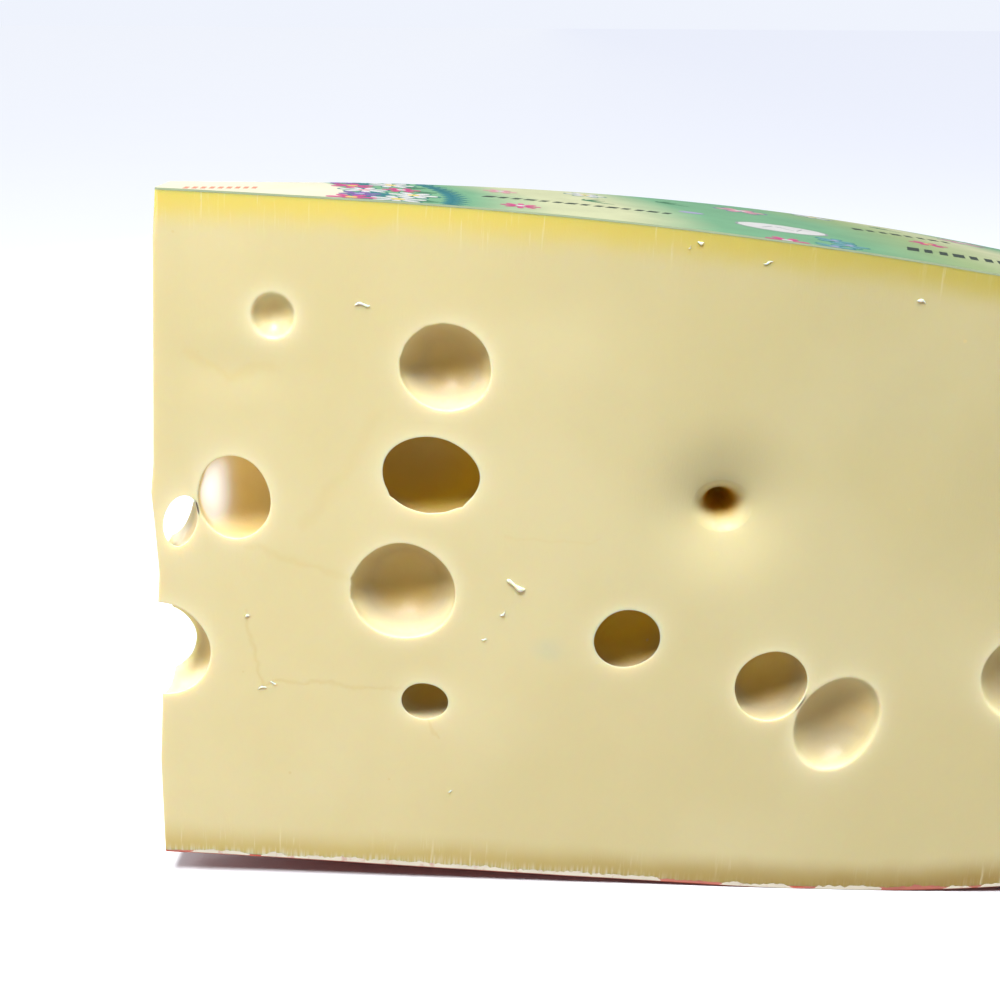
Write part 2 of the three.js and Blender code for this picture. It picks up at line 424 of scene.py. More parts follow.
def wedge_prism():
    """The upright prism of the two cuts, with the knife's waver in its faces."""
    outline = wedge_outline()
    levels = np.arange(-PRISM_REACH, WHEEL_HEIGHT + PRISM_REACH, LEVEL_STEP)
    rings = []
    for level in levels:
        ring = np.column_stack([outline, np.full(len(outline), float(level))])
        ring[:, 0] -= np.interp(level, *np.transpose(TIP_BULGE)) * smooth(TIP_BULGE_REACH, 0, outline[:, 0])
        for face in (FRONT, BACK):
            a, d, h = into_face(face, ring)
            on_face = np.abs(d) < CORNER_RADIUS - 0.1
            ring += (on_face * face.relief(a, h))[:, None] * face.inward
        rings.append(ring)
    verts, faces = facing_out(*lofted(rings))
    return mesh_object("prism", resting(verts), faces, CUT)


def space_above(height):
    """A block that holds everything above a level height over the surface that the wedge rests on."""
    corners = BLOCK_REACH * np.array([(-1, -1), (1, -1), (1, 1), (-1, 1)])
    verts = np.array([(x, y, z) for z in (height, BLOCK_REACH) for x, y in corners])
    verts, faces = facing_out(*lofted([verts[:4], verts[4:]]))
    return mesh_object("above", verts, faces, RIND)


# ---- the eyes

def mouth_wobble(eye, theta):
    """The mouth's outline against a true ellipse, as a factor at each angle round it."""
    seed = eye.x + eye.z
    wobble = 0.012 * np.cos(2 * theta + seed) + 0.010 * np.cos(3 * theta + 2.3 * seed)
    return 1 + wobble + 0.005 * np.cos(5 * theta + 1.7 * seed)


def mouth_chips(eye, theta):
    """How far the mouth's edge is torn back at each angle, in millimetres."""
    torn = np.zeros_like(theta)
    for angle, spread, size in eye.chips:
        away = (np.degrees(theta) - angle + 180) % 360 - 180
        ragged = 0.6 + 0.4 * np.sin(theta * 37 + angle) * np.sin(theta * 23)
        torn += size * ragged * np.exp(-((away / spread) ** 2))
    return torn


def eye_shape(eye):
    """The radii of the eye's ellipsoid along x, inwards and up, with most of the lip inside the mouth."""
    inward = eye.depth - eye.belly
    mouth = math.sqrt(1 - (eye.belly / inward) ** 2)
    return (eye.width / 2 - 1.3 * eye.lip) / mouth, inward, (eye.height / 2 - 1.3 * eye.lip) / mouth


def turned(eye, a, h, back=False):
    angle = math.radians(eye.turn) * (-1 if back else 1)
    return a * math.cos(angle) + h * math.sin(angle), h * math.cos(angle) - a * math.sin(angle)


def eye_cutter(eye, face):
    """A closed shell that cuts one eye: its wall, the rounding of its lip, and a skirt outside the face."""
    lip = eye.lip
    wide, inward, high = eye_shape(eye)
    belly = eye.belly
    columns = max(36, int(math.pi * (eye.width + eye.height) / 2 / EYE_STEP))
    theta = circle(columns)
    across, up = np.cos(theta) / wide, np.sin(theta) / high
    length = np.hypot(across, up)
    out_a, out_h = across / length, up / length
    wobble = mouth_wobble(eye, theta)
    chips = mouth_chips(eye, theta)
    rows = []

    def add_row(d, flare):
        near_mouth = np.exp(-max(d, 0) / 2.5)
        ball = math.sqrt(max(1 - ((d - belly) / inward) ** 2, 0))
        a = wide * ball * np.cos(theta) * wobble + out_a * (flare + chips * near_mouth)
        h = high * ball * np.sin(theta) * wobble + out_h * (flare + chips * near_mouth)
        rows.append((a, d, h))

    deepest = math.acos((lip - belly) / inward)
    wall_rows = max(10, int(inward * deepest / EYE_STEP / 1.3))
    for alpha in np.linspace(0.03, deepest, wall_rows):
        add_row(belly + inward * math.cos(alpha), 0)
    for beta in (0.3, 0.6, 0.9, 1.15):
        add_row(lip * (1 - math.sin(beta)), lip * (1 - math.cos(beta)))
    add_row(0.03, lip * 0.95)
    add_row(0.005, lip + 0.35)
    add_row(-0.03, lip + 0.8)
    add_row(-3, lip + 0.8)

    rings = []
    for a, d, h in rows:
        a, h = turned(eye, a, h)
        a = a + eye.x + eye.lean[0] * d
        h = h + eye.z + eye.lean[1] * d
        ring = from_face(face, a, d, h)
        inside = smooth(0.5, 4, d)
        ring += (0.18 * inside * waves(ring, 11, 31))[:, None] * face.along
        rings.append(ring)
    return facing_out(*lofted(rings))


def pit_cutter():
    """The pinched eye: a pit in a dent, as rings about its middle."""
    def bell(r):
        return math.exp(-((r / DENT.radius) ** 2))

    def sunk(r):
        dent = DENT.depth * (bell(r) - bell(DENT.reach))
        return PIT.depth * math.exp(-((r / PIT.radius) ** PIT.steepness)) + dent

    theta = circle(72)
    radii = np.concatenate([np.arange(0.3, 10, 0.6), np.arange(10, DENT.reach, 1.5), [DENT.reach]])
    rings = []
    for r in radii:
        squash = 1 - (1 - PIT.squash) * math.exp(-((r / 12) ** 2))
        a = PIT.x + r * np.cos(theta)
        h = PIT.z + r * squash * np.sin(theta)
        rings.append(from_face(FRONT, a, sunk(r), h))
    a = PIT.x + DENT.reach * np.cos(theta)
    h = PIT.z + DENT.reach * np.sin(theta)
    rings += [from_face(FRONT, a, d, h) for d in (-0.04, -3)]
    return facing_out(*lofted(rings))


def eye_cutters():
    shells = [eye_cutter(eye, FRONT) for eye in FRONT_EYES + TIP_EYES]
    shells += [eye_cutter(eye, BACK) for eye in BACK_EYES]
    shells.append(pit_cutter())
    verts, faces = joined(shells)
    return mesh_object("eyes", resting(verts), faces, EYE)


# ---- the cheese

def cheese_mesh():
    profile = wheel_profile(base_height, top_height, WHEEL_RADIUS - RIM_DEPTH, RIM_ROWS)
    steps = [
        ("INTERSECT", wedge_prism()),
        ("INTERSECT", space_above(LABEL_GAP + LABEL_THICKNESS)),
        ("DIFFERENCE", eye_cutters()),
    ]
    return combined(revolved_solid("wheel", profile), steps)


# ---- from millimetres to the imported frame

def packed_shift():
    """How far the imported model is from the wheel's frame, from the tip's lower front corner in both."""
    verts = read(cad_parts["cheese"].data.vertices, "co", 3)
    corner = verts[np.argmin(verts[:, 0] + verts[:, 1])]
    return corner - MM * resting(np.array([0, -HALF_TIP, 0]))


SHIFT = packed_shift()
ROOT = "root"


def corner_normals(mesh):
    """Area-weighted normals at each face corner, from the faces round it that turn less than SHARP_ANGLE."""
    polygons = mesh.polygons
    areas = read(polygons, "area")
    normals = read(polygons, "normal", 3)
    groups = read(polygons, "material_index", kind=int)
    totals = read(polygons, "loop_total", kind=int)
    corner_face = np.repeat(np.arange(len(polygons)), totals)
    corner_vert = read(mesh.loops, "vertex_index", kind=int)
    order = np.argsort(corner_vert, kind="stable")
    starts = np.searchsorted(corner_vert[order], np.arange(len(mesh.vertices) + 1))
    valence = np.diff(starts)
    result = normals[corner_face] * areas[corner_face][:, None]
    limit = math.cos(SHARP_ANGLE)
    slot = np.arange(len(order)) - starts[corner_vert[order]]
    for step in range(1, valence.max()):
        spin = valence[corner_vert[order]]
        usable = step < spin
        here = order[usable]
        there = order[starts[corner_vert[here]] + (slot[usable] + step) % spin[usable]]
        face_a, face_b = corner_face[here], corner_face[there]
        close = (normals[face_a] * normals[face_b]).sum(axis=1) > limit
        close &= (groups[face_a] == RIND) == (groups[face_b] == RIND)
        weight = (close * areas[face_b])[:, None]
        result[here] += weight * normals[face_b]
    length = np.linalg.norm(result, axis=1)[:, None]
    return np.where(length > 1e-12, result / np.maximum(length, 1e-12), normals[corner_face])


def add_attribute(mesh, name, values):
    kind = "FLOAT_VECTOR" if values.ndim == 2 else "FLOAT"
    attribute = mesh.attributes.new(name, kind, "POINT")
    attribute.data.foreach_set("vector" if values.ndim == 2 else "value", values.astype(np.float32).ravel())


def finished_piece(name, mesh, materials, nodes=()):
    triangulate = bmesh.new()
    triangulate.from_mesh(mesh)
    bmesh.ops.remove_doubles(triangulate, verts=triangulate.verts, dist=0.004)
    bmesh.ops.dissolve_degenerate(triangulate, edges=triangulate.edges, dist=0.002)
    bmesh.ops.triangulate(triangulate, faces=triangulate.faces)
    triangulate.to_mesh(mesh)
    triangulate.free()
    verts = read(mesh.vertices, "co", 3)
    add_attribute(mesh, "wheel", unresting(verts))
    mesh.vertices.foreach_set("co", (verts * MM + SHIFT).ravel())
    mesh.update()
    mesh.shade_smooth()
    mesh.normals_split_custom_set(corner_normals(mesh).tolist())
    for index, material in enumerate(materials):
        mesh.materials[index] = material
    mesh.name = name
    piece = linked(name, mesh)
    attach(piece, ROOT)
    if nodes:
        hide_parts(*nodes)


# ---- materials

class Nodes:
    """A short way to write a material's node tree."""

    def __init__(self, name):
        self.material = bpy.data.materials.new(name)
        self.material.use_nodes = True
        self.tree = self.material.node_tree
        self.shader = self.tree.nodes["Principled BSDF"]

    def put(self, kind, inputs=(), **settings):
        node = self.tree.nodes.new("ShaderNode" + kind)
        for key, value in settings.items():
            setattr(node, key, value)
        for socket, value in dict(inputs).items():
            self.feed(node.inputs[socket], value)
        return node

    def feed(self, socket, value):
        if isinstance(value, bpy.types.NodeSocket):
            self.tree.links.new(value, socket)
        else:
            socket.default_value = value

    def attribute(self, name, output="Fac"):
        return self.put("Attribute", attribute_name=name).outputs[output]

    def place(self):
        """Each point's place in the wheel's frame, in millimetres."""
        return self.attribute("wheel", "Vector")

    def axis(self, vector, letter):
        return self.put("SeparateXYZ", {0: vector}).outputs[letter]

    def math(self, operation, *values):
        return self.put("Math", dict(enumerate(values)), operation=operation).outputs[0]

    def times(self, a, b):
        return self.math("MULTIPLY", a, b)

    def vector_math(self, operation, *values, output=0):
        return self.put("VectorMath", dict(enumerate(values)), operation=operation).outputs[output]

    def ramp(self, value, low, high, start=0.0, end=1.0):
        sockets = {"Value": value, "From Min": low, "From Max": high, "To Min": start, "To Max": end}
        return self.put("MapRange", sockets, interpolation_type="SMOOTHSTEP").outputs["Result"]

    def noise(self, vector, scale, detail, roughness=0.5, output="Fac"):
        sockets = {"Vector": vector, "Scale": scale, "Detail": detail, "Roughness": roughness}
        return self.put("TexNoise", sockets).outputs[output]

    def stretched(self, vector, x, y, z):
        return self.vector_math("MULTIPLY", vector, (x, y, z))

    def bands(self, value, stops):
        """A colour that changes along a value: stops are (place from 0 to 1, colour)."""
        node = self.put("ValToRGB", {"Fac": value})
        elements = node.color_ramp.elements
        while len(elements) < len(stops):
            elements.new(0.5)
        for element, (place, colour) in zip(elements, stops):
            element.position = place
            element.color = (*colour, 1)
        return node.outputs["Color"]

    def near_line(self, place, start, end, width):
        """1 on the straight line from start to end, fading to 0 at width from it."""
        along = Vector(end) - Vector(start)
        offset = self.vector_math("SUBTRACT", place, start)
        share = self.vector_math("DOT_PRODUCT", offset, along / along.length_squared, output="Value")
        share = self.math("MAXIMUM", self.math("MINIMUM", share, 1.0), 0.0)
        nearest = self.put("VectorMath", {0: along, "Scale": share}, operation="SCALE").outputs[0]
        away = self.vector_math("DISTANCE", offset, nearest, output="Value")
        return self.ramp(away, width, 0.0)

    def mix(self, fac, a, b, blend="MIX"):
        node = self.put("Mix", data_type="RGBA", blend_type=blend)
        self.feed(node.inputs["Factor"], fac)
        for socket, value in (("A", a), ("B", b)):
            self.feed(node.inputs[socket], (*value, 1) if isinstance(value, tuple) else value)
        return node.outputs["Result"]

    def bump(self, height, strength, distance):
        sockets = {"Height": height, "Strength": strength, "Distance": distance}
        return self.put("Bump", sockets).outputs["Normal"]

    def finish(self, **sockets):
        self.material.cycles.emission_sampling = "NONE"
        for name, value in sockets.items():
            self.feed(self.shader.inputs[name.replace("_", " ")], value)
        return self.material


# Colours of the cheese, painted light and shade among them: eye walls darker and more orange with depth, a
# lighter colour on their lit lower sides, the darkest pit, painted highlights on the mouths' edges, a painted
# glow where light comes through thin paste, painted shade in the folds and over a hidden eye, and painted
# shade towards the rim and the top. A wall behind the back cut counts as less deep by BACK_SHARE, and the
# last few numbers say how strong the painted highlights on the mouths' edges are and how far they reach, in
# millimetres.
PASTE_LIGHT = (0.78, 0.695, 0.41)
PASTE_DEEP = (0.745, 0.655, 0.365)
TOP_RIND = (0.80, 0.66, 0.165)
TOP_RIND_SHADED = (0.67, 0.56, 0.145)
BASE_RIND = (0.62, 0.49, 0.18)
BASE_RIND_SHADED = (0.46, 0.32, 0.10)
FIBRE = (0.80, 0.75, 0.58)
FALLOFF_SHADE = (0.80, 0.81, 0.78)
WALL_SHADE_SHALLOW = (0.76, 0.63, 0.33)
WALL_SHADE_MIDDLE = (0.60, 0.45, 0.20)
WALL_SHADE_DEEP = (0.84, 0.60, 0.08)
LIT_SILL_NEAR = (0.82, 0.72, 0.44)
LIT_SILL_FAR = (0.61, 0.52, 0.34)
LIT_SILL_FALLOFF_SHADE = (0.68, 0.66, 0.62)
PIT_SHADE = (0.57, 0.30, 0.015)
LIP_HIGHLIGHT = (0.92, 0.87, 0.62)
BACKLIT_TINT = (0.97, 0.95, 0.84)
GLOW_DEEP = (1.0, 0.62, 0.12)
GLOW_THIN = (0.94, 0.96, 1.0)
KNIFE_SMEAR = (0.90, 0.86, 0.62)
HIDDEN_EYE_SHADE = (0.62, 0.62, 0.44)
CREASE_SHADE_AND_SPECKS = (0.70, 0.58, 0.28)
CRUMB_LIGHT = (0.90, 0.86, 0.68)
CRUMB_DEEP = (0.86, 0.80, 0.58)
SCATTER = (1.0, 0.7, 0.35)
BACK_SHARE = 0.6
LIP_HIGHLIGHT_STRENGTH = 0.35
MOUTH_GLOW = 0.45
MOUTH_GLOW_REACH = 2.2

# Painted shade: a faint round darker patch on the front cut face, where an eye under a thin skin of paste
# shows through, once places are stretched by this, and its middle there
HIDDEN_EYE_STRETCH = (1, 0.2, 1.2)
HIDDEN_EYE_MIDDLE = (130.5, 0, 101.9)

# Old folds in the front cut face, painted as darker lines of shade and sunk in the bump: points along each,
# as x and z, with the fold's width and strength
CREASES = [
    ([(28.7, 92), (31, 78), (35, 66), (52, 68), (82, 66.5)], 1.3, 0.5),
    ([(30, 115), (48, 111), (64, 105.5)], 2.2, 0.4),
    ([(48, 124), (60, 141), (70, 162)], 4.0, 0.28),
    ([(10, 179), (22, 173), (37, 176)], 3.0, 0.4),
    ([(114, 124), (130, 122.5), (146, 125)], 1.2, 0.25),
    ([(90.5, 57), (94, 50)], 0.9, 0.6),
]


def cheese_colour(nodes, place):
    """The cut paste with its rind, smears and fibres, with painted shade that darkens it towards the rim and
    the top, where the light falls off.
    """
    rind = nodes.attribute("rind")
    along, up = nodes.axis(place, "X"), nodes.axis(place, "Z")
    cloud = nodes.ramp(nodes.noise(place, 0.012, 3), 0.35, 0.65)
    colour = nodes.mix(cloud, PASTE_LIGHT, PASTE_DEEP)
    wander = nodes.math("MULTIPLY_ADD", nodes.noise(place, 0.05, 2), 5.0, -2.5)
    edge = nodes.math("ADD", rind, wander)
    # Painted shade: the rind's colour darker towards the rim, where the light falls off
    far = nodes.ramp(along, 60.0, 290.0)
    rinds = [nodes.mix(far, BASE_RIND, BASE_RIND_SHADED), nodes.mix(far, TOP_RIND, TOP_RIND_SHADED)]
    rind_tone = nodes.mix(nodes.ramp(up, 60.0, 150.0), *rinds)
    colour = nodes.mix(nodes.ramp(edge, 13.0, 1.0), colour, rind_tone)
    streaks = nodes.ramp(nodes.noise(nodes.stretched(place, 1, 1, 0.06), 0.8, 3, 0.65), 0.56, 0.75)
    patches = nodes.ramp(nodes.noise(nodes.stretched(place, 1, 1, 0), 0.035, 1), 0.45, 0.6)
    smear = nodes.times(nodes.times(streaks, patches), nodes.ramp(rind, 16.0, 1.0))
    colour = nodes.mix(nodes.times(smear, 0.6), colour, KNIFE_SMEAR)
    fibres = nodes.ramp(nodes.noise(nodes.stretched(place, 1, 1, 0.04), 0.9, 3, 0.6), 0.42, 0.62)
    fibres = nodes.times(fibres, nodes.ramp(edge, 4.5, 0.0, 0.0, 0.75))
    fibres = nodes.times(fibres, nodes.ramp(along, 190.0, 150.0, 0.15, 1.0))
    colour = nodes.mix(nodes.times(fibres, nodes.ramp(up, 40.0, 20.0)), colour, FIBRE)
    # Painted shade: darker towards the rim and the top, where the light falls off
    high = nodes.ramp(up, 50.0, 190.0, 0.0, 0.5)
    falloff_shade = nodes.times(nodes.ramp(along, 0.0, 250.0), nodes.math("ADD", high, 0.5))
    falloff_shade = nodes.math("MAXIMUM", falloff_shade, nodes.times(high, 0.6))
    return nodes.mix(falloff_shade, colour, nodes.mix(1.0, colour, FALLOFF_SHADE, "MULTIPLY"))


def crease_mask(nodes, place):
    """How strongly each point lies in one of the folds of the front cut face."""
    warp = nodes.noise(place, 0.12, 3, output="Color")
    warp = nodes.vector_math("MULTIPLY_ADD", warp, (7, 0, 7), (-3.5, 0, -3.5))
    flat = nodes.vector_math("MULTIPLY", nodes.vector_math("ADD", place, warp), (1, 0.25, 1))
    total = None
    for points, width, strength in CREASES:
        for start, end in zip(points, points[1:]):
            ends = [(x, -0.25 * HALF_TIP, z) for x, z in (start, end)]
            line = nodes.times(nodes.near_line(flat, *ends, width), strength)
            total = line if total is None else nodes.math("MAXIMUM", total, line)
    return total


def painted_eye_shading(nodes, hollow, from_tip):
    """Painted shade inside an eye, darker and more orange with depth, with a lighter painted lit colour on
    its lower side, the sill, which is painted darker towards the rim where the light falls off.
    """
    depth = nodes.math("DIVIDE", hollow, 30.0)
    wall = nodes.bands(depth, [(0.1, WALL_SHADE_SHALLOW), (0.4, WALL_SHADE_MIDDLE), (0.8, WALL_SHADE_DEEP)])
    lit_sill = nodes.bands(depth, [(0.12, LIT_SILL_NEAR), (0.3, LIT_SILL_FAR)])
    lit_sill = nodes.mix(nodes.ramp(from_tip, 100.0, 280.0), lit_sill, nodes.mix(1.0, lit_sill, LIT_SILL_FALLOFF_SHADE, "MULTIPLY"))
    return nodes.mix(nodes.attribute("lit_sill"), wall, lit_sill)


def cheese_material():
    nodes = Nodes("cheese_paste")
    place = nodes.place()
    hollow = nodes.attribute("hollow")
    colour = cheese_colour(nodes, place)
    creases = crease_mask(nodes, place)
    # Painted shade along the folds
    colour = nodes.mix(creases, colour, CREASE_SHADE_AND_SPECKS)
    stretched = nodes.stretched(place, *HIDDEN_EYE_STRETCH)
    from_hidden_eye = nodes.vector_math("DISTANCE", stretched, HIDDEN_EYE_MIDDLE, output="Value")
    # Painted shade of the eye under the thin skin
    colour = nodes.mix(nodes.ramp(from_hidden_eye, 8.0, 1.0, 0.0, 0.5), colour, HIDDEN_EYE_SHADE)
    inside = nodes.ramp(hollow, 0.8, 5.0)
    from_tip = nodes.axis(place, "X")
    # Painted shade inside the eyes, with painted light on their lit lower sides
    colour = nodes.mix(inside, colour, painted_eye_shading(nodes, hollow, from_tip))
    # Painted shade: the pit's walls darkest brown
    colour = nodes.mix(nodes.attribute("pit"), colour, PIT_SHADE)
    # Painted highlight: a light band on the eyes' rounded lips and round their mouths
    colour = nodes.mix(nodes.attribute("lip"), colour, LIP_HIGHLIGHT)
    backlit = nodes.attribute("backlit")
    # Painted light: near-white paste where light comes through the thin wall
    colour = nodes.mix(backlit, colour, BACKLIT_TINT)
    # Small darker specks over the paste, in the same colour as the painted crease shade
    specks = nodes.put("TexVoronoi", {"Vector": place, "Scale": 0.045}).outputs["Distance"]
    colour = nodes.mix(nodes.ramp(specks, 0.035, 0.02, 0.0, 0.6), colour, CREASE_SHADE_AND_SPECKS)
    # Painted glow inside the eyes near the tip, where light comes through the thin paste
    inner_glow = nodes.times(nodes.ramp(from_tip, 50.0, 10.0, 0.0, 0.20), inside)
    grain = nodes.noise(nodes.stretched(place, 1, 1, 0.35), 0.9, 3, 0.6)
    drag = nodes.noise(nodes.stretched(place, 1, 1, 0.03), 0.35, 3, 0.6)
    height = nodes.math("ADD", grain, nodes.times(drag, 0.8))
    height = nodes.math("SUBTRACT", height, creases)
    roughness = nodes.ramp(nodes.noise(place, 0.06, 3), 0.3, 0.7, 0.34, 0.46)
    # The emission is painted glow: the backlit thin wall and the eyes near the tip
    return nodes.finish(
        Base_Color=colour,
        Roughness=roughness,
        Normal=nodes.bump(height, 0.14, 0.0004),
        Subsurface_Weight=1.0,
        Subsurface_Radius=SCATTER,
        Subsurface_Scale=0.003,
        Specular_IOR_Level=0.35,
        Emission_Color=nodes.mix(nodes.ramp(backlit, 0.0, 0.4), GLOW_DEEP, GLOW_THIN),
        Emission_Strength=nodes.math("MAXIMUM", nodes.times(backlit, 0.85), inner_glow),
    )


# ---- the cheese piece

def near_mouths(verts):
    """How close each point of a cut face is to the mouth of an eye, fading outwards."""
    close = np.zeros(len(verts))
    for face, eyes in ((FRONT, FRONT_EYES + TIP_EYES), (BACK, BACK_EYES)):
        a, d, h = into_face(face, verts)
        on_face = d - face.relief(a, h) < 0.1
        for eye in eyes:
            along, up = turned(eye, a - eye.x, h - eye.z, back=True)
            wide, high = eye.width / 2, eye.height / 2
            away = (np.hypot(along / wide, up / high) - 1) * min(wide, high)
            glow = np.exp(-np.maximum(away, 0) / MOUTH_GLOW_REACH) * (away > -1) * on_face
            close = np.maximum(close, glow)
    return close


def rind_distance(verts):
    """How far each point is inside the wheel's top, base or rim, whichever is nearest."""
    r = np.hypot(verts[:, 0], verts[:, 1])
    middle = (top_height(r) + base_height(r)) / 2
    half = (top_height(r) - base_height(r)) / 2
    from_middle = np.abs(verts[:, 2] - middle)
    bulge = np.clip(1 - (from_middle / half) ** RIM_POWER, 0, 1) ** (1 / RIM_POWER)
    rim = WHEEL_RADIUS - RIM_DEPTH + RIM_DEPTH * bulge - r
    return np.maximum(np.minimum(half - from_middle, rim), 0)


def hollow_depth(verts):
    """How deep each point lies behind the nearest cut, where the back cut counts for less."""
    hollow = verts[:, 0]
    for face, share in ((BACK, BACK_SHARE), (FRONT, 1)):
        a, d, h = into_face(face, verts)
        hollow = np.minimum(hollow, share * (d - face.relief(a, h)))
    return np.clip(hollow, 0, None)


def add_cheese_attributes(mesh):
    verts = unresting(read(mesh.vertices, "co", 3))
    a, d, h = into_face(FRONT, verts)
    hollow = hollow_depth(verts)
    walls = cut_by_eyes(mesh)
    dented = (np.hypot(a - PIT.x, h - PIT.z) < DENT.reach + 1) & (d < PIT_ZONE)
    add_attribute(mesh, "rind", rind_distance(verts))
    # Painted shade: where the pit's walls are painted darkest, deep in the dent
    add_attribute(mesh, "pit", walls * smooth(5, 15, d) * dented)
    walls = walls * ~dented
    add_attribute(mesh, "hollow", hollow * walls)
    # Painted light: the upward-facing lower walls of shallower eyes, lit from above, away from the thin wall
    normals = read(mesh.vertex_normals, "vector", 3)
    far_from_thin = np.hypot(a - THIN_WALL.x, h - THIN_WALL.z) > THIN_WALL.clear
    lit_sill = smooth(-0.1, 0.45, normals[:, 2]) * smooth(14, 8, hollow) * far_from_thin
    add_attribute(mesh, "lit_sill", walls * lit_sill)
    # Painted highlight on the rounded lips, and round the mouths on the cut faces
    lip = LIP_HIGHLIGHT_STRENGTH * walls * smooth(0, 0.025, hollow) * smooth(1.5, 0.5, hollow)
    add_attribute(mesh, "lip", np.maximum(lip, MOUTH_GLOW * near_mouths(verts)))
    # Painted light: where light comes through the thin wall into the eye
    across = ((a - THIN_WALL.x) / THIN_WALL.wide) ** 2 + ((h - THIN_WALL.z) / THIN_WALL.high) ** 2
    backlit = np.exp(-across - ((d - THIN_WALL.d) / THIN_WALL.deep) ** 2) * smooth(1, 5, hollow)
    add_attribute(mesh, "backlit", backlit * walls)


def cut_by_eyes(mesh):
    """1 at the points of the eyes' walls and 0 elsewhere."""
    groups = read(mesh.polygons, "material_index", kind=int)
    totals = read(mesh.polygons, "loop_total", kind=int)
    corner_vert = read(mesh.loops, "vertex_index", kind=int)
    inside = np.zeros(len(mesh.vertices))
    inside[corner_vert[np.repeat(groups == EYE, totals)]] = 1
    return inside


def make_cheese():
    mesh = cheese_mesh()
    add_cheese_attributes(mesh)
    finished_piece("cheese_wedge", mesh, [cheese_material()] * 3, ["cheese"])


# ---- the labels

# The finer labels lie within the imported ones, and the paper under the base clears the table
LABEL_TOP = LABEL_GAP + LABEL_THICKNESS - 0.12
LABEL_UNDER = 0.04
TABLE_GAP = 0.02
PRINT_THICKNESS = 0.05
PRINT_LIFT = 0.035

PAPER = (0.38, 0.46, 0.29)
CREAM = (0.56, 0.54, 0.41)
FIELD_GREEN = (0.13, 0.29, 0.165)
FIELD_GLOW = (0.42, 0.44, 0.27)
FIELD_OLIVE = (0.24, 0.32, 0.15)
# The top paper's bands of colour: a radius on the wheel, and the colour there
FIELD_STOPS = [
    (0, CREAM), (57, CREAM), (58, FIELD_GREEN), (98, FIELD_GREEN), (122, FIELD_GLOW), (148, FIELD_GLOW),
    (178, FIELD_GREEN), (222, FIELD_GREEN), (256, FIELD_OLIVE), (290, FIELD_GLOW), (322, FIELD_GREEN),
]
BASE_RED = (0.64, 0.12, 0.07)
TORN_RED = (0.62, 0.20, 0.15)
TORN_WHITE = (0.74, 0.68, 0.56)
TORN_STAIN = (0.62, 0.36, 0.29)
INKS = {
    "white": (0.47, 0.47, 0.46),
    "magenta": (0.42, 0.05, 0.17),
    "pink": (0.48, 0.24, 0.27),
    "coral": (0.52, 0.20, 0.13),
    "purple": (0.15, 0.08, 0.26),
    "lavender": (0.26, 0.25, 0.38),
    "sky": (0.10, 0.24, 0.27),
    "teal": (0.02, 0.13, 0.15),
    "leaf": (0.05, 0.15, 0.08),
    "yellow": (0.50, 0.40, 0.10),
    "dark": (0.03, 0.045, 0.035),
    "grey": (0.22, 0.23, 0.24),
}
INK_ORDER = list(INKS)


def paper_material(name, colour, blotch=0.9):
    nodes = Nodes(name)
    return finished_paper(nodes, nodes.place(), colour, blotch)


def finished_paper(nodes, place, colour, blotch=0.9):
    """Slightly glossy, fibrous paper whose colour is worn in blotches."""
    fibre = nodes.noise(place, 1.2, 4, 0.6)
    worn = nodes.mix(nodes.ramp(nodes.noise(place, 0.08, 3), 0.3, 0.7), (1, 1, 1), (blotch,) * 3)
    return nodes.finish(
        Base_Color=nodes.mix(1.0, colour, worn, "MULTIPLY"),
        Roughness=0.42,
        Normal=nodes.bump(fibre, 0.1, 0.0003),
        Specular_IOR_Level=0.4,
    )


def field_material():
    """The top paper's ground: a cream disc, then bands of green and pale yellow that run into each other."""
    nodes = Nodes("top_paper_field")
    place = nodes.place()
    level = nodes.stretched(place, 1, 1, 0)
    r = nodes.vector_math("LENGTH", level, output="Value")
    drift = nodes.math("MULTIPLY_ADD", nodes.noise(level, 0.02, 2), 16.0, -8.0)
    drifted = nodes.math("ADD", r, nodes.times(drift, nodes.ramp(r, 56.0, 90.0)))
    share = nodes.math("DIVIDE", drifted, LABEL_RADIUS)
    colour = nodes.bands(share, [(stop / LABEL_RADIUS, tone) for stop, tone in FIELD_STOPS])
    return finished_paper(nodes, place, colour)


def sheet_profile(under, over, spare=0):
    return wheel_profile(under, over, LABEL_RADIUS + spare)


def make_top_label():
    profile = sheet_profile(lambda r: top_height(r) + LABEL_UNDER, lambda r: top_height(r) + LABEL_TOP)
    mesh = combined(revolved_solid("sheet", profile), [("INTERSECT", wedge_prism())])
    edge = paper_material("top_paper_edge", PAPER)
    finished_piece("top_label_sheet", mesh, [field_material(), edge, edge], ["top_label"])


def make_base_label():
    """The paper under the base: what lies above its lower side, less what lies above its upper side."""
    spare = 10
    lower = sheet_profile(lambda r: base_height(r) - LABEL_TOP, lambda r: base_height(r) + spare)
    upper = sheet_profile(lambda r: base_height(r) - LABEL_UNDER, lambda r: base_height(r) + 2 * spare, spare)
    flat_top = space_above(LABEL_GAP + LABEL_THICKNESS - LABEL_UNDER)
    above = linked("above_paper", combined(revolved_solid("upper", upper), [("INTERSECT", flat_top)]))
    steps = [
        ("INTERSECT", wedge_prism()),
        ("INTERSECT", space_above(TABLE_GAP)),
        ("DIFFERENCE", above),
    ]
    mesh = combined(revolved_solid("lower", lower), steps)
    red = paper_material("base_paper_red", BASE_RED, 0.8)
    finished_piece("base_label_sheet", mesh, [red] * 3, ["bottom_label"])


# ---- the print on the top label
# A shape is an outline of points in millimetres round its own middle, turned and placed on the wheel's top.

def polar(r, degrees):
    angle = math.radians(degrees)
    return np.array([r * math.cos(angle), r * math.sin(angle)])


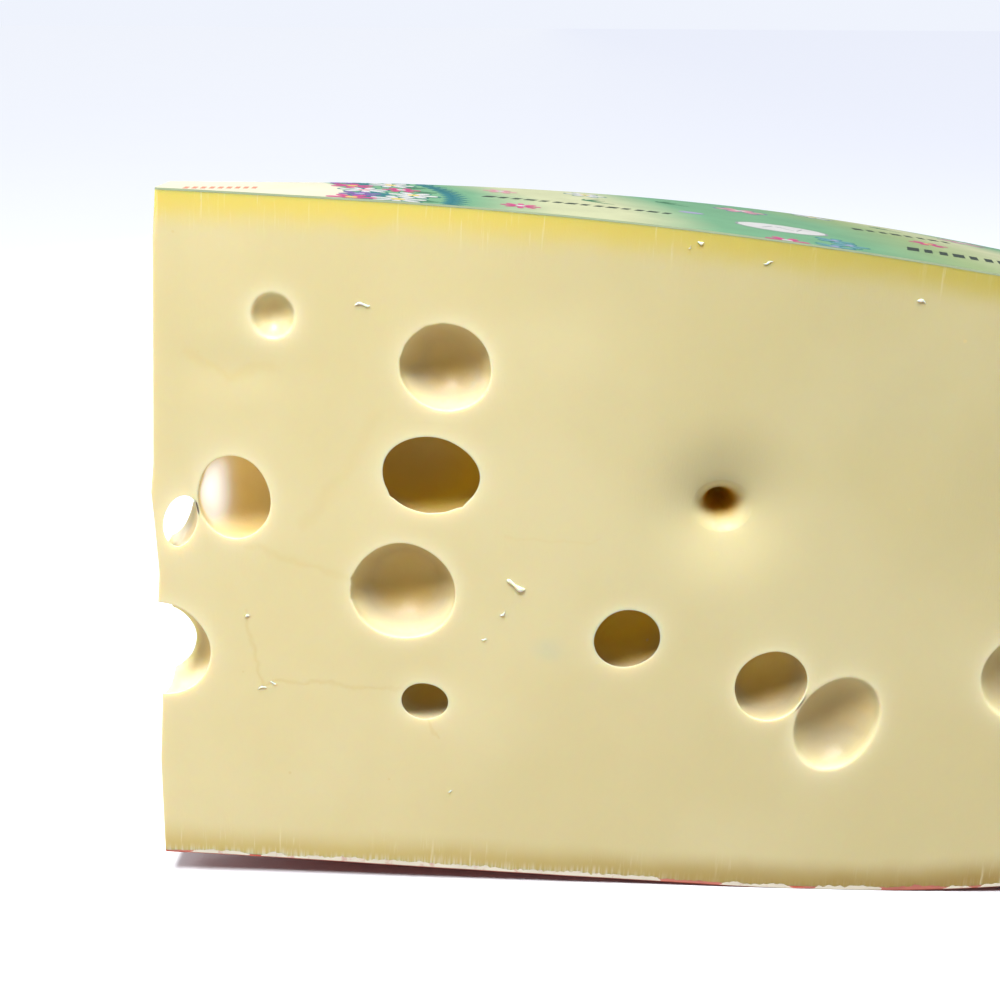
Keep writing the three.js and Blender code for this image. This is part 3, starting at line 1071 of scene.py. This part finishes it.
def mirrored(along, side):
    """An outline from one side, out and back, whose first and last points lie on the axis."""
    back = np.column_stack([along, -side])[::-1][1:-1]
    return np.concatenate([np.column_stack([along, side]), back])


def leaf_outline(length, width, points=7):
    """A pointed leaf from the origin along +x."""
    t = np.linspace(0, 1, points)
    return mirrored(t * length, width / 2 * np.sin(math.pi * t) ** 0.8)


def oval_outline(length, width, points=14):
    t = circle(points)
    return np.column_stack([length / 2 * np.cos(t), width / 2 * np.sin(t)])


def petal_outline(inner, outer, width, points=9):
    """A rounded petal that starts at inner and is widest near outer."""
    t = np.linspace(0, math.pi, points)
    along = inner + (outer - inner) * (1 - np.cos(t)) / 2
    return mirrored(along, width / 2 * np.sin(t) ** 0.7 * (0.55 + 0.45 * (1 - np.cos(t)) / 2))


def bar_outline(length, width, slant):
    """A bar whose ends slant, centred on the origin."""
    corners = np.array([(-1, -1), (1, -1), (1, 1), (-1, 1)]) * (length / 2, width / 2)
    return corners + np.array([(-slant, 0), (-slant, 0), (slant, 0), (slant, 0)])


def spun(outline, degrees):
    angle = math.radians(degrees)
    turn = np.array([[math.cos(angle), math.sin(angle)], [-math.sin(angle), math.cos(angle)]])
    return outline @ turn


def clipped(outline):
    """The part of a convex outline that lies on the label, inside the two cuts and the tip."""
    margin = 0.45
    sides = [
        (np.array([0, 1]), -HALF_TIP + margin),
        (np.array([1, 0]), margin),
        (BACK.inward[:2], BACK.inward[:2] @ BACK.start[:2] + margin),
    ]
    points = list(outline)
    for normal, limit in sides:
        kept = []
        for here, there in zip(points, points[1:] + points[:1]):
            a, b = here @ normal - limit, there @ normal - limit
            if a >= 0:
                kept.append(here)
            if (a < 0) != (b < 0):
                kept.append(here + (there - here) * a / (a - b))
        points = kept
        if len(points) < 3:
            return None
    points = np.array(points)
    if np.hypot(*points.T).max() > LABEL_RADIUS - 1:
        return None
    return points


class Print:
    """Collects the label's printed shapes as thin closed plates, one ink each."""

    def __init__(self):
        self.verts, self.faces, self.inks = [], [], []

    def add(self, outline, centre, turn, ink, layer=0):
        """One shape as a plate: an outer ring, an inner ring and a middle on top, and the same underneath."""
        points = clipped(spun(outline, turn) + centre)
        if points is None:
            return
        middle = points.mean(axis=0)
        rings = [points, middle + (points - middle) * 0.55, middle[None]]
        flat = np.concatenate(rings)
        level = top_height(np.hypot(*flat.T)) + LABEL_TOP + PRINT_LIFT * (layer + 1)
        top = np.column_stack([flat, level])
        low = np.column_stack([flat, level - PRINT_THICKNESS])
        start, count, size = len(self.verts), len(points), len(flat)
        self.verts += list(top) + list(low)
        for i in range(count):
            j = (i + 1) % count
            self.faces.append([start + j, start + i, start + size + i, start + size + j])
            for first, way in ((start, 1), (start + size, -1)):
                self.faces.append([first + i, first + j, first + count + j, first + count + i][::way])
                self.faces.append([first + count + i, first + count + j, first + 2 * count][::way])
        self.inks += [INK_ORDER.index(ink)] * 5 * count

    def flower(self, r, degrees, radius, petals, ink, heart="yellow", outline=None, turn=0):
        centre = polar(r, degrees)
        width = radius * 2.5 / petals * 1.25
        for i in range(petals):
            angle = turn + 360 * i / petals
            if outline:
                self.add(petal_outline(0.1 * radius, radius * 1.12, width * 1.22), centre, angle, outline)
            self.add(petal_outline(0.15 * radius, radius, width), centre, angle, ink, 1)
        self.add(oval_outline(radius * 0.5, radius * 0.5), centre, 0, heart, 2)

    def daisy(self, r, degrees, radius, petals, turn=0):
        self.flower(r, degrees, radius, petals, "white", "yellow", "teal", turn)

    def tuft(self, r, degrees, blades, length, spread, heading, ink):
        centre = polar(r, degrees)
        for i in range(blades):
            turn = heading + spread * (i / max(blades - 1, 1) - 0.5)
            reach = length * (0.75 + 0.25 * math.cos(2.4 * i))
            self.add(leaf_outline(reach, reach * 0.16), centre, turn, ink)

    def bars(self, start, end, count, width, ink="dark"):
        """A row of slanted bars, long and short, in place of lettering."""
        heading = math.degrees(math.atan2(*(end - start)[::-1]))
        step = np.linalg.norm(end - start) / count
        for i in range(count):
            length = step * (0.62 + 0.16 * math.cos(2.1 * i))
            centre = start + (end - start) * (i + 0.5) / count
            self.add(bar_outline(length, width, width * 0.22), centre, heading, ink)


def draw_garland(art):
    """Flowers and leaves round the cream disc, and grass beyond them."""
    for i, degrees in enumerate(np.arange(-12, 48, 4.5)):
        art.add(leaf_outline(13, 5), polar(58 + 2 * (i % 3), degrees), degrees + 40 * (-1) ** i, "teal")
        art.add(leaf_outline(9, 3.4), polar(80, degrees + 2), degrees - 30 * (-1) ** i, "leaf")
    art.flower(61, -6.5, 8, 6, "magenta", turn=8)
    art.daisy(75, -3.5, 9, 7, 12)
    art.flower(62, 4, 7, 6, "purple", "lavender", turn=20)
    art.daisy(79, 7, 8, 6)
    art.flower(64, 15, 8, 7, "white", "pink", "teal", turn=25)
    art.flower(77, 18, 6.5, 6, "magenta", "white", turn=10)
    art.flower(63, 26, 7.5, 6, "magenta", turn=30)
    art.daisy(78, 29, 8, 7, 5)
    art.flower(64, 37, 7, 6, "purple", "lavender", turn=15)
    for degrees in np.arange(-7, 38, 3.4):
        art.tuft(88, degrees, 4, 11, 70, degrees + 5, "teal")


def draw_small_motifs(art):
    """Coral dashes by the tip, and single flowers, ovals and tufts over the field."""
    for i, x in enumerate(np.arange(9, 30, 2.4)):
        art.add(bar_outline(1.5, 5.5, 0.8), np.array([x, -6 + 1.4 * i]), 20, "coral")
    art.flower(115, 24, 6, 6, "pink", "white")
    art.flower(113, 2, 6.5, 8, "magenta", "white")
    art.add(oval_outline(9, 6), polar(176, 14), 10, "lavender")
    art.flower(209, 23, 9, 6, "pink", "white", "purple")
    art.add(oval_outline(32, 23), polar(201, 7.5), 8, "grey")
    art.add(oval_outline(30, 21.4), polar(201, 7.5), 8, "white", 1)
    for offset, turn in ((-5, 60), (1, 130), (6, 70)):
        art.add(bar_outline(8, 0.5, 0), polar(201 + offset, 7.5), turn, "grey", 2)
    art.flower(196, -2.6, 7, 6, "magenta", "white")
    for r, degrees in ((211, -2), (217, 0.3), (214, 2.6)):
        art.flower(r, degrees, 6, 5, "sky", "lavender", "teal")
    art.daisy(150, 26, 7, 6)
    art.daisy(252, 27, 8, 7)
    art.flower(262, 12.5, 7, 6, "magenta")
    art.daisy(300, 1, 9, 7)
    art.flower(306, 22, 9, 6, "pink", "white", "purple")
    for r, degrees in ((140, 18), (176, 24), (290, 12), (270, 24)):
        art.tuft(r, degrees, 5, 12, 100, degrees + 10, "leaf")


def draw_rows(art):
    art.bars(polar(103, 14), polar(166, 10), 14, 4.4)
    art.bars(polar(241, 5.5), polar(290, 6.5), 9, 11)
    art.bars(polar(244, 18), polar(288, 18.5), 8, 6.5)


def draw_border(art):
    """A ring of leaves inside the label's edge."""
    for i, degrees in enumerate(np.arange(-1.5, 29, 1.9)):
        art.add(leaf_outline(10, 3.4), polar(334, degrees), degrees + 90 + 25 * (-1) ** i, "leaf")
        art.add(oval_outline(3, 3, 10), polar(342, degrees + 0.9), 0, "white")


def make_print():
    art = Print()
    draw_garland(art)
    draw_small_motifs(art)
    draw_rows(art)
    draw_border(art)
    mesh = loose_mesh("print", resting(np.array(art.verts)), art.faces, len(INK_ORDER))
    mesh.polygons.foreach_set("material_index", art.inks)
    inks = [paper_material("ink_" + name, colour) for name, colour in INKS.items()]
    finished_piece("top_label_print", mesh, inks)


# ---- torn paper and shavings

# Stretches of torn paper along the front of the base: from and to along the edge, and how high they reach.
# Below them, how far each kind stands proud of the cheese, and how far all stay above the table.
TORN_STRIPS = [
    (9, 30, 1.0), (34, 176, 1.3), (196, 222, 1.0), (228, 254, 1.2), (274, 284, 0.7), (286, 338, 0.9),
]
RED_STRIPS = [
    (1.5, 12, 0.4), (168, 200, 0.7), (218, 232, 0.6), (250, 277, 1.3), (281, 289, 0.6), (300, 342, 0.5),
]
WHITE_PROUD = 0.06
RED_PROUD = 0.03
TORN_TABLE_GAP = 0.05

# Shavings and crumbs on the front cut face: x, z, length, thickness, lean in degrees
SHAVINGS = [
    (65.1, 197.8, 5.0, 0.45, 8), (118.4, 107.2, 7.0, 0.95, -14), (114.7, 96.8, 2.2, 0.60, 50),
    (108.8, 87.1, 1.8, 0.40, 0), (99.8, 29.6, 1.6, 0.35, 20), (29.0, 90.6, 1.6, 0.55, 10),
    (34.2, 64.6, 3.2, 0.40, 25), (38.0, 66.6, 2.4, 0.35, -10), (169.2, 223.0, 2.0, 0.50, 0),
    (166.0, 221.5, 1.4, 0.40, 60), (190.5, 218.0, 3.2, 0.35, 5), (239.0, 208.8, 3.0, 0.50, -20),
]


def torn_strip(start, end, reach, proud, seed):
    """A ribbon of torn paper proud of the front cut face, along its lower edge, with a ragged top."""
    x = np.arange(start, end, 0.7)
    points = np.column_stack([x, 0 * x, 0 * x])
    ends = smooth(start, start + 3, x) * smooth(end, end - 3, x)
    ragged = 0.8 + 0.2 * waves(points, 2.2, seed) + 0.12 * waves(points, 9, seed + 1)
    high = base_height(x) + reach * ends * np.clip(ragged, 0.12, 2.6) - 0.1
    low = base_height(x) - 0.3
    depths = np.array([-0.14 - proud, -0.04 - proud, 0.06, 0.06])
    rings = []
    for here, under, over in zip(x, low, high):
        ring = from_face(FRONT, np.full(4, here), depths, np.array([under, over, over, under]))
        ring[:, 1] = np.maximum(ring[:, 1], -HALF_TIP)
        rings.append(ring)
    return facing_out(*lofted(rings))


def shaving(x, z, length, thick, lean, seed):
    """A curled crumb of cheese, tapered at its ends, that lies on the front cut face."""
    steps = max(6, int(length / 0.5))
    sides = 8
    theta = circle(sides)
    rings = []
    for t in np.linspace(0.02, 0.98, steps):
        swell = math.sin(math.pi * t) ** 0.5 * (1 + 0.25 * math.sin(9 * t + seed))
        along = (t - 0.5) * length
        curl = 0.12 * length * math.sin(math.pi * 1.6 * t + seed)
        a, h = spun(np.array([[along, curl]]), lean)[0]
        ring_h = h + thick * swell * np.cos(theta)
        ring_d = -0.35 * thick + 0.75 * thick * swell * np.sin(theta)
        rings.append(from_face(FRONT, np.full(sides, x + a), ring_d, z + ring_h))
    return facing_out(*lofted(rings))


def make_torn_paper():
    white = [torn_strip(*strip, WHITE_PROUD, 40 + i) for i, strip in enumerate(TORN_STRIPS)]
    red = [torn_strip(*strip, RED_PROUD, 60 + i) for i, strip in enumerate(RED_STRIPS)]
    verts, faces = joined(white + red)
    verts = resting(verts)
    verts[:, 2] = np.maximum(verts[:, 2], TORN_TABLE_GAP)
    mesh = loose_mesh("strips", verts, faces, 2)
    white_faces = sum(len(strip[1]) for strip in white)
    mesh.polygons.foreach_set("material_index", [int(i >= white_faces) for i in range(len(faces))])
    nodes = Nodes("torn_paper")
    place = nodes.place()
    stain = nodes.ramp(nodes.noise(place, 0.25, 3, 0.6), 0.52, 0.72)
    materials = [
        finished_paper(nodes, place, nodes.mix(stain, TORN_WHITE, TORN_STAIN)),
        paper_material("torn_red_paper", TORN_RED, 0.7),
    ]
    finished_piece("base_label_torn_edge", mesh, materials)


def make_shavings():
    verts, faces = joined([shaving(*crumb, i) for i, crumb in enumerate(SHAVINGS)])
    mesh = loose_mesh("crumbs", resting(verts), faces, 1)
    nodes = Nodes("shavings_paste")
    place = nodes.place()
    tone = nodes.mix(nodes.ramp(nodes.noise(place, 0.6, 2), 0.4, 0.6), CRUMB_LIGHT, CRUMB_DEEP)
    material = nodes.finish(
        Base_Color=tone,
        Roughness=0.4,
        Normal=nodes.bump(nodes.noise(place, 2.0, 3), 0.2, 0.0003),
        Subsurface_Weight=1.0,
        Subsurface_Radius=SCATTER,
        Subsurface_Scale=0.002,
    )
    finished_piece("cheese_shavings", mesh, [material])


# ---- the studio

def make_floor():
    """A wide white floor. It bounces less light than it shows, as if dark cards stood out of view."""
    mesh = bpy.data.meshes.new("floor")
    sides = ((-1, -1), (1, -1), (1, 1), (-1, 1))
    mesh.from_pydata([(FLOOR_HALF * x, FLOOR_HALF * y, FLOOR_LEVEL) for x, y in sides], [], [(0, 1, 2, 3)])
    nodes = Nodes("floor_paper")
    place = nodes.put("TexCoord").outputs["Object"]
    tone = nodes.mix(nodes.noise(place, 3.0, 2), *FLOOR_TONES)
    # Painted shade: the floor darker and bluer far back and towards the right, as the light falls off
    right = nodes.ramp(nodes.axis(place, "X"), -1.0, 1.2, 0.45, 1.0)
    far = nodes.times(nodes.ramp(nodes.axis(place, "Y"), 0.1, 1.6), right)
    tone = nodes.mix(far, tone, FLOOR_FAR_SHADE)
    seen = nodes.put("LightPath").outputs["Is Camera Ray"]
    mesh.materials.append(nodes.finish(Base_Color=nodes.mix(seen, FLOOR_BOUNCE, tone), Roughness=0.8))
    linked("floor", mesh)


def aimed(name, data, place, target):
    light = linked(name, data)
    light.location = place
    light.rotation_euler = (Vector(target) - Vector(place)).to_track_quat("-Z", "Y").to_euler()


def area_light(name, place, target, size, power):
    data = bpy.data.lights.new(name, "AREA")
    data.size = size
    data.energy = power
    aimed(name, data, place, target)


def make_world():
    """An even, faintly blue white, which lights less than it shows."""
    world = bpy.data.worlds.new("studio")
    world.use_nodes = True
    tree = world.node_tree
    background = tree.nodes["Background"]
    background.inputs["Color"].default_value = WORLD_COLOUR
    seen = tree.nodes.new("ShaderNodeLightPath").outputs["Is Camera Ray"]
    strength = tree.nodes.new("ShaderNodeMapRange")
    strength.inputs["To Min"].default_value = WORLD_LIGHT
    tree.links.new(seen, strength.inputs["Value"])
    tree.links.new(strength.outputs["Result"], background.inputs["Strength"])
    bpy.context.scene.world = world


def make_lights():
    area_light("key", KEY_PLACE, KEY_TARGET, KEY_SIZE, KEY_POWER)
    area_light("left_back", BACK_PLACE, BACK_TARGET, BACK_SIZE, BACK_POWER)
    data = bpy.data.lights.new("overhead", "SUN")
    data.energy = SUN_STRENGTH
    data.angle = SUN_ANGLE
    aimed("overhead", data, SUN_PLACE, (0, 0, 0))


def make_camera():
    turn = Matrix.Rotation(-CAMERA_YAW, 4, "Z") @ Matrix.Rotation(math.pi / 2 - CAMERA_PITCH, 4, "X")
    turn = turn @ Matrix.Rotation(CAMERA_ROLL, 4, "Z")
    data = bpy.data.cameras.new("camera")
    data.lens = CAMERA_LENS
    data.sensor_width = 36
    camera = linked("camera", data)
    camera.matrix_world = Matrix.Translation(Vector(CAMERA_PLACE) * MM + Vector(SHIFT)) @ turn
    bpy.context.scene.camera = camera
    bpy.context.scene.view_settings.view_transform = "Standard"


make_cheese()
make_top_label()
make_print()
make_base_label()
make_torn_paper()
make_shavings()
make_floor()
make_world()
make_lights()
make_camera()
